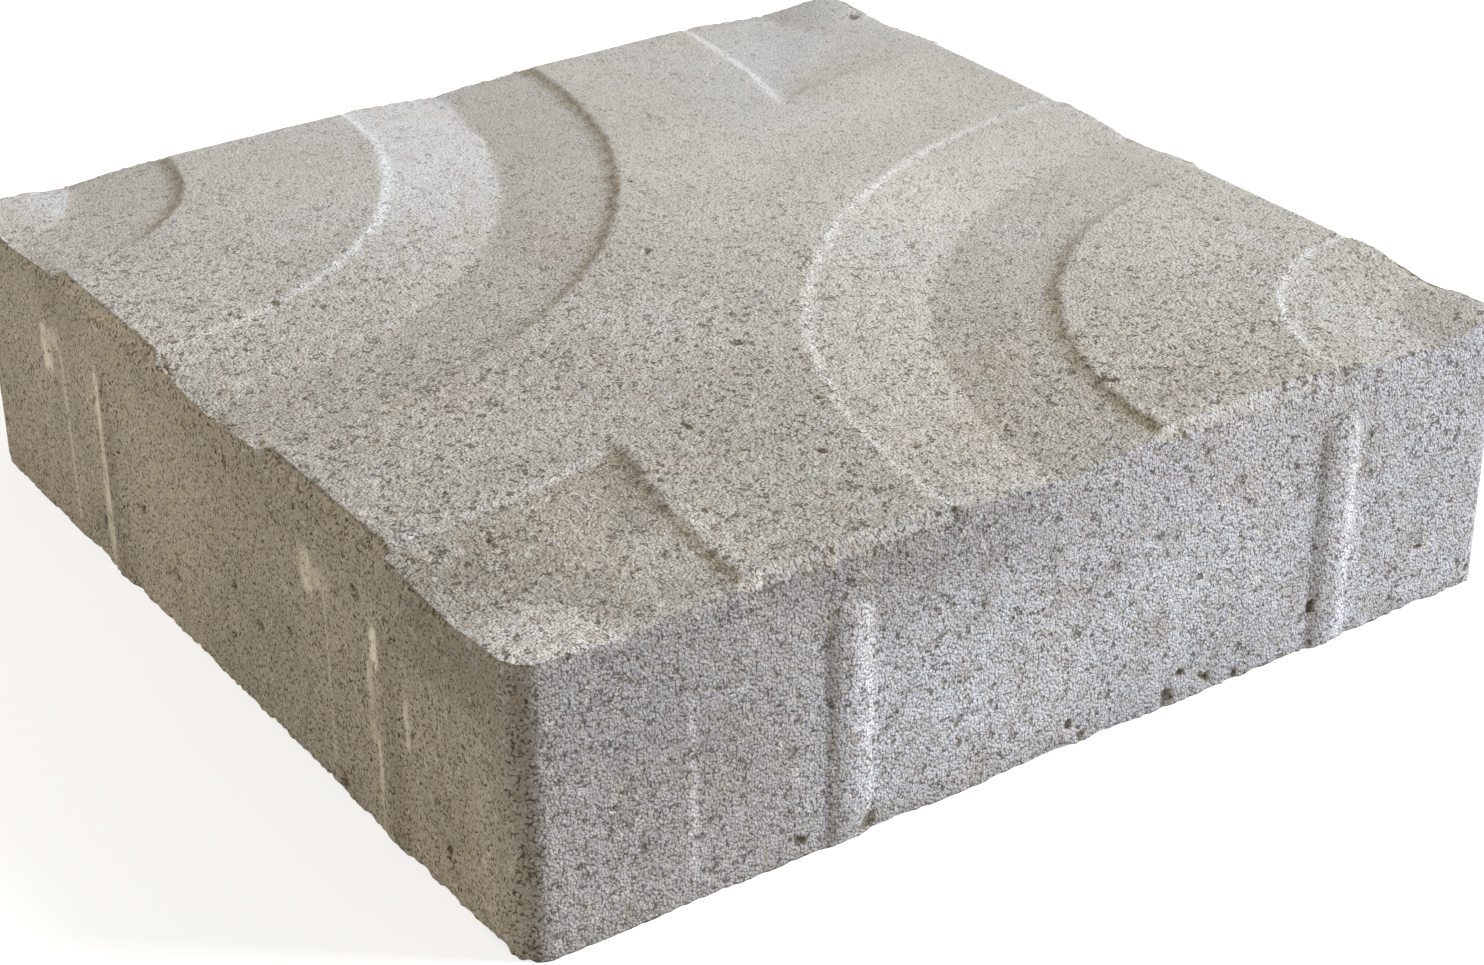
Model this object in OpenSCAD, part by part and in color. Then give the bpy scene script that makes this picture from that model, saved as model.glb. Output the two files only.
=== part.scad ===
// Square concrete paving slab, cast as one piece. A wave relief is moulded into
// its top and upright spacer ribs stand on its four sides. It lies flat: the
// origin is the middle of the underside, +Z is up, and the sides face X and Y.

/* [Slab] */
// Side of the square slab, without its spacer ribs
slab_side = 300; // [250:5:360]
// Height from the underside to the flats of the top
slab_height = 80; // [50:1:120]
// Radius of the four upright corners
corner_radius = 8; // [5:0.5:15]
// Width and height of the bevel around the top edge
edge_bevel = 3; // [1:0.5:4.5]

/* [Wave relief] */
// Depth of a valley's lowest line below the flats
valley_depth = 3.2; // [1.5:0.1:6]
// Width of a flank, from the rim at the flats to the lowest line
flank_width = 33; // [26:1:36]
// Radius of the dished disc around each wave centre
disc_radius = 60; // [45:1:70]
// Radius of the disc's lowest line
disc_line = 29; // [15:1:40]
// Radius of the ring valley's lowest line
ring_radius = 150; // [130:1:160]
// Radius of the rim beyond which the two other corners are hollowed
field_radius = 239; // [215:1:260]
// Extra drop of the small cove that steepens a flank at its rim
rim_drop = 0.4; // [0.2:0.1:1.2]
// Width of that cove
cove_width = 2; // [1.5:0.5:10]

/* [Spacer ribs] */
// Width of a rib where it meets the side
rib_width = 14; // [8:0.5:24]
// How far a rib stands out from the side
rib_out = 1; // [0.5:0.1:4]
// Distance from the flats of the top down to the top of a rib
rib_top_gap = 14; // [5:1:30]
// Height over which the top of a rib fades into the side
rib_fade = 5; // [2:0.5:12]
// Distance of each side's first rib from the corner on its left
first_rib = 88; // [60:1:110]
// Distance of each side's second rib from the corner on its right
second_rib = 59; // [30:1:70]

/* [Hidden] */
$fn = 128;
concrete = [0.66, 0.64, 0.60];
half_side = slab_side / 2;
corner_centre = half_side - corner_radius;
// The cuts reach this far above the flats
clear = 12;
// A flank is straight below its cove and aims at rim_drop under the rim
flank_slope = (valley_depth - rim_drop) / flank_width;
flank_angle = atan(flank_slope);
// Height of the straight flank at a distance u from its rim, from the flats
function flank_z(u) = -rim_drop - u * flank_slope;
// Radius of the cove, which touches the straight flank and ends at the rim
cove_end = flank_z(cove_width);
cove_radius = (pow(cove_width, 2) + pow(cove_end, 2)) / (2 * rim_drop * cos(flank_angle));
cove_centre = [cove_width, cove_end] + cove_radius * [sin(flank_angle), cos(flank_angle)];
// Point of the cove where it slopes down by the given angle
function cove_point(slope) = cove_centre - cove_radius * [sin(slope), cos(slope)];
// Slope of the cove at its rim, and the number of straight steps that follow it
rim_angle = asin(cove_centre[0] / cove_radius);
cove_steps = 2;
// The cut for a cove starts this far outside its rim, above the flats
rim_run = 1;
// The waves are centred on two opposite corners of the square
wave_centres = [[-half_side, half_side], [half_side, -half_side]];
// Run of the outermost flanks, up to where the rising one leaves the cuts
far_run = flank_width + (valley_depth + clear) / flank_slope;
// Radius of a rib's round face, and the height of its full section
rib_radius = (pow(rib_width / 2, 2) + pow(rib_out, 2)) / (2 * rib_out);
rib_full_height = slab_height - rib_top_gap - rib_fade;

slab();

module slab() {
    color(concrete)
    difference() {
        union() {
            bevelled_block();
            for (quarter = [0:3])
                rotate([0, 0, 90 * quarter])
                    for (place = [first_rib - half_side, half_side - second_rib])
                        translate([place, -half_side, 0])
                            spacer_rib();
        }
        for (centre = wave_centres)
            translate([centre[0], centre[1], slab_height])
                wave_valleys();
        corner_hollows();
    }
}

// Square block with round upright corners and a bevel around its top
module bevelled_block() {
    for (turn = [0, 90])
        rotate([90, 0, turn])
            linear_extrude(height = 2 * corner_centre, center = true)
                bevelled_section(half_side);
    for (x = [-corner_centre, corner_centre], y = [-corner_centre, corner_centre])
        translate([x, y, 0])
            rotate_extrude()
                intersection() {
                    bevelled_section(corner_radius);
                    square([corner_radius, slab_height]);
                }
}

// Upright section with a bevel at both of its top edges
module bevelled_section(half_width) {
    polygon([
        [-half_width, 0],
        [half_width, 0],
        [half_width, slab_height - edge_bevel],
        [half_width - edge_bevel, slab_height],
        [edge_bevel - half_width, slab_height],
        [-half_width, slab_height - edge_bevel]
    ]);
}

// Rib with a round face, which fades into the side at its top
module spacer_rib() {
    translate([0, rib_radius - rib_out, 0]) {
        cylinder(r = rib_radius, h = rib_full_height);
        translate([0, 0, rib_full_height])
            cylinder(r1 = rib_radius, r2 = rib_radius - rib_out, h = rib_fade);
    }
}

// The dished disc and the ring valley around one wave centre
module wave_valleys() {
    rotate_extrude()
        intersection() {
            fall_inward(disc_radius, disc_radius);
            disc_rise();
        }
    rotate_extrude()
        intersection() {
            fall_outward(ring_radius - flank_width, 2 * flank_width);
            fall_inward(ring_radius + flank_width, 2 * flank_width);
        }
}

// Hollows in the two corners that lie outside both outer rims: they fall from
// the nearer rim to a lowest line and rise again towards the corner
module corner_hollows() {
    intersection() {
        outer_fall(wave_centres[0]);
        outer_fall(wave_centres[1]);
        union() {
            outer_rise(wave_centres[0]);
            outer_rise(wave_centres[1]);
        }
    }
}

// Space above the flank that falls outward from the outer rim of one wave
module outer_fall(centre) {
    translate([centre[0], centre[1], slab_height])
        rotate_extrude()
            fall_outward(field_radius, far_run);
}

// Space above the flank that rises outward beyond the hollow's lowest line
module outer_rise(centre) {
    translate([centre[0], centre[1], slab_height])
        rotate_extrude()
            plain_rise_outward(field_radius + flank_width);
}

// Space above a flank with its rim at radius r, falling away from the centre
module fall_outward(r, length) {
    translate([r, 0]) flank_space(length);
}

// The same with the flank falling towards the centre
module fall_inward(r, length) {
    translate([r, 0]) mirror([1, 0]) flank_space(length);
}

// Space above the straight flank that rises from the disc's lowest line inward
module disc_rise() {
    line_z = flank_z(disc_radius - disc_line);
    polygon([
        [0, line_z + disc_line * flank_slope],
        [disc_radius, line_z - (disc_radius - disc_line) * flank_slope],
        [disc_radius, clear],
        [0, clear]
    ]);
}

// Space above the straight flank that rises outward from radius r
module plain_rise_outward(r) {
    polygon([
        [field_radius, (field_radius - r) * flank_slope - valley_depth],
        [field_radius + far_run, clear],
        [field_radius, clear]
    ]);
}

// Section of the space above a flank: the rim is at the origin, a cove leads
// from it to the straight part, which falls to the right
module flank_space(length) {
    polygon(concat(
        [[-rim_run, clear], [-rim_run, rim_run * tan(rim_angle)]],
        [for (i = [0:cove_steps]) cove_point(rim_angle + (flank_angle - rim_angle) * i / cove_steps)],
        [[length, flank_z(length)], [length, clear]]
    ));
}
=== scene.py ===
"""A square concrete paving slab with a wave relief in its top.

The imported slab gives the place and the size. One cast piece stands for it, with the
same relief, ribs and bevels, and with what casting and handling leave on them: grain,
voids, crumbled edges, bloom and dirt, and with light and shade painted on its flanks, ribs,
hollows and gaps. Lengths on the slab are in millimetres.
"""

import math
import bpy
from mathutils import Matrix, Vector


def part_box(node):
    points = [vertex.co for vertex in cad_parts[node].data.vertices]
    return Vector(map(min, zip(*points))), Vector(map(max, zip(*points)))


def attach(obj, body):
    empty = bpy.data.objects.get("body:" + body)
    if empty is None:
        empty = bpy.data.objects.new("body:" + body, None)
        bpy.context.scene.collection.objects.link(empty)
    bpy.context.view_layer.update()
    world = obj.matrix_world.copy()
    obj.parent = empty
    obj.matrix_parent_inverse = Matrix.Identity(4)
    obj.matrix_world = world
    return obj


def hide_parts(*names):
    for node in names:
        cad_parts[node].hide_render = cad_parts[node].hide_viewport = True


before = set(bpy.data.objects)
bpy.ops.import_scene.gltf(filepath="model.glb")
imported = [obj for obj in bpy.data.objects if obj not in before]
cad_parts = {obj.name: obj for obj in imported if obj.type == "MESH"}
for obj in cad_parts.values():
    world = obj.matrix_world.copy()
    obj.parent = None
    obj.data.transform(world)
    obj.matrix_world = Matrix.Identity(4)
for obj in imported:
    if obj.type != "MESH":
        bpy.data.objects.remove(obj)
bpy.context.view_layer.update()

from types import SimpleNamespace

import bpy
import numpy as np
from mathutils import Vector

# ---------------------------------------------------------------- the slab's sizes
MM = 0.001
RIB_OUT = 1
RIB_WIDTH = 14
RIB_TOP_GAP = 14
RIB_FADE = 5
FIRST_RIB = 88
SECOND_RIB = 59
CORNER_RADIUS = 8
EDGE_BEVEL = 3
VALLEY_BEVEL = 0.9
VALLEY_DEPTH = 3.2
FLANK_WIDTH = 33
DISC_RADIUS = 60
DISC_LINE = 29
RING_RADIUS = 150
FIELD_RADIUS = 239
RIM_DROP = 0.4
COVE_WIDTH = 2

low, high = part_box("slab")
SIDE = round((high.x - low.x) / MM) - 2 * RIB_OUT
HEIGHT = round((high.z - low.z) / MM)
HALF = SIDE / 2
RIB_RADIUS = ((RIB_WIDTH / 2) ** 2 + RIB_OUT**2) / (2 * RIB_OUT)
RIB_FULL_HEIGHT = HEIGHT - RIB_TOP_GAP - RIB_FADE

# A flank is straight below its cove, which is an arc that ends at the rim
FLANK_SLOPE = (VALLEY_DEPTH - RIM_DROP) / FLANK_WIDTH
FLANK_ANGLE = math.atan(FLANK_SLOPE)
COVE_DROP = RIM_DROP + COVE_WIDTH * FLANK_SLOPE
COVE_RADIUS = (COVE_WIDTH**2 + COVE_DROP**2) / (2 * RIM_DROP * math.cos(FLANK_ANGLE))
COVE_CENTRE_ALONG = COVE_WIDTH + COVE_RADIUS * math.sin(FLANK_ANGLE)
COVE_CENTRE_UP = COVE_RADIUS * math.cos(FLANK_ANGLE) - COVE_DROP

# The circular rims round each wave centre, and the way that the flank falls: in or out
RIMS = (
    (DISC_RADIUS, -1),
    (RING_RADIUS - FLANK_WIDTH, 1),
    (RING_RADIUS + FLANK_WIDTH, -1),
    (FIELD_RADIUS, 1),
)

# The damp mix leaves every step of the mould a little blunt: the relief is averaged over
# these shifts along X and Y
BLUNT = ((-0.7, -0.7), (0.7, -0.7), (-0.7, 0.7), (0.7, 0.7))

# Small squares of the fine mesh along a side and up a side, and the triangles kept of it
STEPS_ALONG = 480
STEPS_UP = 128
KEPT_TRIANGLES = 190000

# Where each side lies in the flat map for baking: left, bottom, width and height. The sides
# are -X, +X, -Y, +Y, base and top, and +X and +Y are turned to stand upright
MAP_PLACES = np.array([
    (0.01, 0.64, 0.61, 0.165),
    (0.64, 0.01, 0.165, 0.61),
    (0.01, 0.825, 0.61, 0.165),
    (0.825, 0.01, 0.165, 0.61),
    (0.64, 0.64, 0.35, 0.35),
    (0.01, 0.01, 0.61, 0.61),
])


# ---------------------------------------------------------------- repeatable noise
# Large odd numbers, and shifts of bits, that scramble a cell's place into a random number
CELL_FACTORS = np.array([73856093, 19349663, 83492791])
SEED_FACTOR = 2654435761
SCRAMBLES = ((15, 2246822519), (13, 3266489917), (16, 668265263))


def random_of(cells, seed):
    """A number from 0 to 1 for each whole-number cell, the same on every run."""
    mixed = cells @ CELL_FACTORS + seed * SEED_FACTOR
    for shift, factor in SCRAMBLES:
        mixed = (mixed ^ (mixed >> shift)) * factor & 0xFFFFFFFF
    return mixed / 0xFFFFFFFF


def noise(points, size, seed):
    """Smooth noise from -1 to 1, with swells about one size across."""
    scaled = points / size
    cell = np.floor(scaled).astype(np.int64)
    part = scaled - cell
    part = part * part * (3 - 2 * part)
    total = np.zeros(len(points))
    for corner in np.ndindex(2, 2, 2):
        weight = np.prod(np.where(corner, part, 1 - part), axis=1)
        total += weight * random_of(cell + corner, seed)
    return 2 * total - 1


def scattered(points, spacing, chance, radii, seed):
    """Round hollows, at most one to a cell: 0 outside, 1 at a centre.

    The largest radius is at most half the spacing, so that eight cells are enough.
    """
    cell = np.floor(points / spacing - 0.5).astype(np.int64)
    deepest = np.zeros(len(points))
    for step in np.ndindex(2, 2, 2):
        near = cell + np.array(step)
        jitter = np.stack([random_of(near, seed + axis) for axis in (1, 2, 3)], axis=1)
        radius = radii[0] + (radii[1] - radii[0]) * random_of(near, seed + 4) ** 3
        gap = np.linalg.norm(points - (near + jitter) * spacing, axis=1) / radius
        hollow = np.clip(1 - gap**2, 0, 1) * (random_of(near, seed + 5) < chance)
        deepest = np.maximum(deepest, hollow)
    return deepest


def step_between(value, start, end):
    """0 up to start, 1 from end on, and a smooth change between them."""
    part = np.clip((value - start) / (end - start), 0, 1)
    return part * part * (3 - 2 * part)


# ---------------------------------------------------------------- the cast shape
def fall(past_rim):
    """Height of a flank at a distance past its rim, from the flats: cove, then straight."""
    along = np.clip(past_rim, 0, None)
    arc = COVE_RADIUS**2 - (np.minimum(along, COVE_WIDTH) - COVE_CENTRE_ALONG) ** 2
    cove = COVE_CENTRE_UP - np.sqrt(arc)
    return np.where(along < COVE_WIDTH, cove, -RIM_DROP - along * FLANK_SLOPE)


def valley(past_rim, line):
    """Height of a flank that falls as far as its lowest line, and then climbs again."""
    lowest = -RIM_DROP - line * FLANK_SLOPE
    climb = lowest + (past_rim - line) * FLANK_SLOPE
    return np.where(past_rim > 0, np.maximum(fall(past_rim), climb), 0)


def wave_radii(x, y):
    """Distances to the two corners that the waves are centred on."""
    return np.hypot(x + HALF, y - HALF), np.hypot(x - HALF, y + HALF)


def past_both_fields(x, y):
    """Distance past the nearer outer rim, which turns round the hollow in a soft bend."""
    past_left, past_right = (radius - FIELD_RADIUS for radius in wave_radii(x, y))
    bend = 3 + 0.7 * np.clip(np.minimum(past_left, past_right), 0, FLANK_WIDTH)
    share = np.clip(0.5 + 0.5 * (past_right - past_left) / bend, 0, 1)
    return past_right * (1 - share) + past_left * share - bend * share * (1 - share)


def relief(x, y):
    """Height of the top from its flats: discs and rings round two corners, hollows in two."""
    height = valley(past_both_fields(x, y), FLANK_WIDTH)
    for radius in wave_radii(x, y):
        height += valley(DISC_RADIUS - radius, DISC_RADIUS - DISC_LINE)
        height += valley(FLANK_WIDTH - np.abs(radius - RING_RADIUS), 2 * FLANK_WIDTH)
    return height


def rounded(u, v):
    """Moves the points of a square so that its upright corners are round."""
    flat = HALF - CORNER_RADIUS
    over_u, over_v = np.clip(np.abs(u) - flat, 0, None), np.clip(np.abs(v) - flat, 0, None)
    reach = np.hypot(over_u, over_v)
    share = np.maximum(over_u, over_v) / np.where(reach > 0, reach, 1)
    x = np.sign(u) * (np.minimum(np.abs(u), flat) + over_u * share)
    y = np.sign(v) * (np.minimum(np.abs(v), flat) + over_v * share)
    return x, y


def from_outline(x, y):
    """Distance of each point inward from the slab's rounded outline."""
    flat = HALF - CORNER_RADIUS
    over_x, over_y = np.abs(x) - flat, np.abs(y) - flat
    outside = np.hypot(np.clip(over_x, 0, None), np.clip(over_y, 0, None))
    return CORNER_RADIUS - outside - np.minimum(np.maximum(over_x, over_y), 0)


def top_height(x, y):
    """Height of the top, which its bevel cuts down along the outline, least in the valleys."""
    in_valley = step_between(-relief(x, y), 0.3, 0.9)
    bevel_width = EDGE_BEVEL + (VALLEY_BEVEL - EDGE_BEVEL) * in_valley
    bevel = HEIGHT - bevel_width + np.clip(from_outline(x, y), 0, None)
    place = np.stack([x, y, np.zeros_like(x)], axis=1)
    ragged = 1 + 1.2 * step_between(-(x + y), SIDE / 3, SIDE / 2)
    stray_x = (0.5 * noise(place, 7, 81) + 0.35 * noise(place, 3, 82)) * ragged
    stray_y = (0.5 * noise(place, 7, 83) + 0.35 * noise(place, 3, 84)) * ragged
    waves = [relief(x + stray_x + along, y + stray_y + across) for along, across in BLUNT]
    return np.minimum(HEIGHT + sum(waves) / len(BLUNT), bevel)


def rib_stand(along, z):
    """How far the two ribs of a side stand out, at a distance from its left corner."""
    out = np.zeros_like(along)
    faded = RIB_OUT * np.clip((z - RIB_FULL_HEIGHT) / RIB_FADE, 0, 1)
    for place in (FIRST_RIB, SIDE - SECOND_RIB):
        across = np.clip(np.abs(along - place), 0, RIB_WIDTH / 2)
        face = np.sqrt(np.clip((RIB_RADIUS - faded) ** 2 - across**2, 0, None))
        out = np.maximum(out, face - RIB_RADIUS + RIB_OUT)
    return out


def box_lattice():
    """Whole-number points of a box's surface, its small squares, and each square's side."""
    steps = np.array([STEPS_ALONG, STEPS_ALONG, STEPS_UP])
    squares, sides = [], []
    for axis in range(3):
        across, up = (axis + 1) % 3, (axis + 2) % 3
        start = np.stack(np.meshgrid(np.arange(steps[across]), np.arange(steps[up])), axis=-1)
        for end in (0, 1):
            turn = ((0, 0), (1, 0), (1, 1), (0, 1)) if end else ((0, 0), (0, 1), (1, 1), (1, 0))
            corners = start.reshape(-1, 1, 2) + np.array(turn)
            square = np.full((len(corners), 4, 3), end * steps[axis])
            square[:, :, across] = corners[:, :, 0]
            square[:, :, up] = corners[:, :, 1]
            squares.append(square)
            sides.append(np.full(len(square), 2 * axis + end))
    squares = np.concatenate(squares)
    spans = np.array([(STEPS_ALONG + 1) * (STEPS_UP + 1), STEPS_UP + 1, 1])
    keys, found = np.unique(squares.reshape(-1, 3) @ spans, return_inverse=True)
    points = np.stack([keys // spans[0], keys % spans[0] // spans[1], keys % spans[1]], axis=1)
    return points, found.reshape(-1, 4), np.concatenate(sides)


def cast_points(lattice):
    """Places the lattice on the clean cast shape, as it leaves the mould."""
    share = lattice / np.array([STEPS_ALONG, STEPS_ALONG, STEPS_UP])
    x, y = rounded((share[:, 0] * 2 - 1) * HALF, (share[:, 1] * 2 - 1) * HALF)
    z = share[:, 2] * top_height(x, y)
    points = np.stack([x, y, z], axis=1)
    ribbed = ((1, 0, HALF + x), (0, 1, HALF + y), (1, 1, HALF - x), (0, 0, HALF - y))
    for axis, end, along in ribbed:
        on_side = lattice[:, axis] == end * STEPS_ALONG
        points[:, axis] += np.where(on_side, (2 * end - 1) * rib_stand(along, z), 0)
    return points


# ---------------------------------------------------------------- wear and casting marks
# Depths inward from the clean shape, where each is deepest
VOID_DEPTH = 1.2
SMALL_VOID_SHARE = 0.8
RIM_WEAR = 0.25
DROOP = 0.7
CRUMBLE = 0.26
LARGEST_BUMP = 0.12

# How far uneven mix shifts the outlines of the voids
VOID_SHIFT = 1.3

# Voids: two distances on their face, and a radius. The top's are measured from the near
# corner along X and Y, and a side's from its left corner and from the floor
TOP_VOIDS = (
    (159, 203, 2.0), (189, 241, 1.3), (231, 228, 1.3), (94, 172, 1.5), (137, 160, 1.7),
    (200, 126, 2.4), (155, 48, 2.3), (188, 30, 2.6), (252, 122, 1.3), (276, 87, 1.5),
    (63, 106, 1.9), (57, 102, 1.5), (89, 69, 1.8), (125, 65, 1.6), (108, 41, 2.0),
    (126, 101, 1.6), (113, 109, 1.7), (131, 32, 1.6), (41, 191, 2.3), (38, 190, 1.9),
    (33, 193, 1.5), (29, 192, 1.8), (279, 114, 1.4), (291, 118, 1.3), (215, 265, 1.3),
    (259, 229, 1.4), (43, 144, 1.5), (165, 134, 1.3), (17, 152, 1.3), (24, 51, 1.1),
    (4, 186, 1.2), (3, 178, 1.0), (4, 105, 1.2), (5, 98, 1.2), (3, 91, 1.0), (295, 281, 3.4),
)
RIGHT_VOIDS = (
    (25, 34, 1.5), (23.5, 29.5, 1.4), (26.5, 37.5, 1.0), (127, 50, 1.3), (273, 18, 1.3),
    (236, 14, 1.6), (74, 5, 2.0), (93, 2, 3.6), (155, 7, 1.4), (159, 2, 2.2), (187, 2, 2.8),
    (192, 8, 1.4), (200, 4, 1.9), (210, 2, 2.1), (235, 13, 2.0), (293, 4, 1.9),
)
LEFT_VOIDS = (
    (105, 29, 1.8), (108, 32, 1.2), (124, 17, 2.0), (160, 31, 1.8), (172, 27, 1.7),
    (190, 34, 1.8), (215, 3, 2.8), (157, 16, 1.5), (266, 13, 2.1), (121, 46, 1.3), (76, 12, 1.6),
    (90, 16, 1.3), (199, 72, 1.6), (227, 63, 1.4), (229, 36, 1.4), (91, 66, 1.3), (160, 67, 1.3),
    (39, 22, 1.3),
)

# Strips broken from the edge between the top and -X: distances from the left corner
EDGE_CHIPS = ((104, 128), (176, 240))

# Broad changes of tone: the middle from the near corner's foot, along X, along Y and up,
# then the radius, how much lighter the concrete is there, and how much warmer
CLOUDS = (
    (120, 60, 80, 45, -0.12, 0.015), (90, 10, 80, 30, -0.05, 0.015), (80, 0, 79, 12, -0.12, 0.0),
    (50, 68, 80, 16, -0.08, 0.0), (50, 26, 80, 18, 0.26, 0.0), (46, 52, 80, 12, 0.15, 0.0),
    (220, 190, 80, 50, 0.07, 0.0), (250, 260, 80, 35, 0.02, 0.0), (260, 215, 80, 25, 0.05, 0.0),
    (40, 280, 80, 40, -0.02, 0.01), (10, 200, 80, 30, 0.08, 0.0), (25, 140, 80, 60, 0.0, 0.015),
    (180, 45, 80, 45, 0.0, 0.03), (265, 80, 80, 30, 0.06, 0.0), (0, 250, 40, 40, 0.14, 0.0),
    (0, 190, 35, 45, 0.16, 0.0), (0, 40, 10, 60, 0.04, 0.01), (0, 130, 45, 45, 0.02, 0.0),
    (0, 30, 74, 28, -0.14, 0.0), (213, 0, 40, 36, 0.14, 0.0), (40, 0, 5, 50, 0.09, 0.0),
    (15, 0, 76, 28, -0.04, 0.0), (40, 0, 42, 30, -0.12, 0.005), (135, 0, 22, 30, 0.08, 0.0),
    (275, 0, 18, 30, 0.06, 0.0), (95, 0, 42, 16, -0.06, 0.0), (61, 0, 18, 22, 0.06, 0.0),
    (70, 0, 76, 26, 0.05, 0.0), (150, 80, 125, 115, 0.085, 0.0), (10, 10, 80, 25, 0.06, 0.0),
    (125, 0, 72, 34, -0.05, 0.0),
)

# Painted light where the relief and the ribs face +X, towards the key lamp, and painted
# shade where they face -X: how much lighter the concrete is painted for each unit of slope
PAINTED_FLANK_LIGHT_AND_SHADE = 1.0


def placed(points, holes, origin, across, up):
    """Round hollows at chosen places of one face: 0 outside, 1 at a centre."""
    deepest = np.zeros(len(points))
    for along, height, radius in holes:
        centre = np.array(origin) + along * np.array(across) + height * np.array(up)
        gap = np.linalg.norm(points - centre, axis=1) / radius
        deepest = np.maximum(deepest, np.clip(1 - gap**2, 0, 1))
    return deepest


def void_depths(points, openness):
    """Hollows where the mix did not fill the mould: 0 outside, 1 at a centre."""
    shifts = [noise(points, 1.7, seed) + noise(points, 4.2, seed) for seed in (11, 12, 13)]
    warped = points + VOID_SHIFT * np.stack(shifts, axis=1)
    faces = (
        (TOP_VOIDS, (-HALF, -HALF, HEIGHT - 1), (1, 0, 0), (0, 1, 0)),
        (RIGHT_VOIDS, (-HALF, -HALF, 0), (1, 0, 0), (0, 0, 1)),
        (LEFT_VOIDS, (-HALF, HALF, 0), (0, -1, 0), (0, 0, 1)),
    )
    small = scattered(warped, 6, 0.4, (0.5, 1.6), 27) * (0.12 + 0.6 * openness)
    deepest = SMALL_VOID_SHARE * small
    for holes, origin, across, up in faces:
        deepest = np.maximum(deepest, placed(warped, holes, origin, across, up))
    return deepest


def worn_rims(x, y):
    """Extra depth below the rims whose flank falls towards -X: their mould step is blunter."""
    depth = np.zeros_like(x)
    for corner, radius in zip((-HALF, HALF), wave_radii(x, y)):
        for rim, way in RIMS:
            past = (radius - rim) * way
            facing = step_between((corner - x) * way / radius, 0.3, 0.9)
            step = step_between(past, -0.5, 5) * step_between(past, 17, 6)
            there = step_between(past_both_fields(x, y), -1, 1) if rim == FIELD_RADIUS else 1
            depth = np.maximum(depth, step * facing * there)
    return RIM_WEAR * depth


def left_edge_wear(points, below_top):
    """Extra depth along the edge between the top and -X: strips broken from it, and a droop."""
    x, y, _ = points.T
    inward = x + HALF
    along = HALF - y + 5 * noise(points, 8, 48)
    broken = np.zeros(len(points))
    for start, end in EDGE_CHIPS:
        strip = step_between(along, start - 4, start + 4)
        broken = np.maximum(broken, strip * step_between(along, end + 4, end - 4))
    near_edge = step_between(inward + noise(points, 2.2, 49), 3.6, 2.0)
    broken *= near_edge * step_between(below_top, 1.4, 0.4)
    droop = step_between(-relief(x, y), 0.8, 2.2) * step_between(inward, 12, 1)
    droop *= step_between(below_top, 4, 0) * step_between(along, SIDE - 12, SIDE - 32)
    return broken * (0.7 + 0.5 * noise(points, 3, 50)) + DROOP * droop


def cast_marks(points, upward):
    """How far the surface lies inward from the clean shape, and how deep its voids are."""
    x, y, z = points.T
    on_base = step_between(-upward, 0.5, 0.8)
    on_top = step_between(upward, 0.5, 0.8)
    openness = open_texture(points)
    voids = void_depths(points, openness) * (1 - on_base)
    outline = from_outline(x, y)
    below_top = top_height(x, y) - z
    top_edge = step_between(np.maximum(outline, below_top), 4, 0.5)
    low_edge = step_between(np.maximum(outline, z), 2.5, 0.5)
    crumbs = 0.6 * noise(points, 1.6, 41) + 0.6 * noise(points, 4, 42)
    worn = step_between(noise(points, 26, 43), -0.3, 0.7)
    bites = 0.4 * noise(points, 11, 44)
    wear = top_edge * (0.2 + 0.45 * crumbs + 0.3 * worn + bites)
    wear += low_edge * (0.1 + 0.6 * crumbs + 0.4 * worn + 0.3 * noise(points, 9, 46))
    swell = 0.12 * noise(points, 38, 61) + 0.06 * noise(points, 13, 62)
    depth = VOID_DEPTH * voids + np.clip(wear, -LARGEST_BUMP, None) + (1 - on_base) * swell
    crumbled = CRUMBLE * on_top * openness**2 * noise(points, 2.3, 45)
    left_edge = left_edge_wear(points, below_top)
    return depth + crumbled + left_edge + on_top * worn_rims(x, y), voids


def open_texture(points):
    """How open and dark the surface is, from 0 far from the near corner to 1 beside it."""
    towards_near = -(points[:, 0] + points[:, 1]) / SIDE
    return step_between(towards_near + 0.7 * noise(points, 33, 15), -0.9, 1.2)


def clouds(points):
    """How much lighter and how much warmer the concrete is than its plain colour."""
    uneven = 0.3 * noise(points, 19, 91) + 0.2 * noise(points, 8, 92)
    lighter, warmer = np.zeros(len(points)), np.zeros(len(points))
    for x, y, z, radius, light, warmth in CLOUDS:
        gap = np.linalg.norm(points - (x - HALF, y - HALF, z), axis=1) / radius
        share = step_between(gap + uneven, 1.4, 0.2)
        lighter += light * share
        warmer += warmth * share
    return lighter, warmer


def facing_x(points, normals):
    """How far the flanks and the ribs turn towards +X; 0 on the corners and on the X sides."""
    x, y, _ = points.T
    turned = normals[:, 0] * step_between(np.abs(normals[:, 0]), 0.45, 0.35)
    flat = HALF - CORNER_RADIUS
    return turned * step_between(np.minimum(np.abs(x), np.abs(y)), flat, flat - 4)


def mesh_of(name, points, squares):
    """A Blender mesh of quads; points in millimetres."""
    mesh = bpy.data.meshes.new(name)
    mesh.vertices.add(len(points))
    mesh.vertices.foreach_set("co", (points * MM).ravel())
    mesh.loops.add(squares.size)
    mesh.loops.foreach_set("vertex_index", squares.ravel())
    mesh.polygons.add(len(squares))
    mesh.polygons.foreach_set("loop_start", np.arange(0, squares.size, 4))
    mesh.update(calc_edges=True)
    return mesh


def normals_of(mesh):
    """Unit normals at the mesh's points."""
    normals = np.empty(len(mesh.vertices) * 3)
    mesh.vertex_normals.foreach_get("vector", normals)
    return normals.reshape(-1, 3)


def keep_number(mesh, name, values, domain="POINT"):
    """Stores one number for each point or face, which materials can read by its name."""
    mesh.attributes.new(name, "FLOAT", domain).data.foreach_set("value", values)


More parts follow.
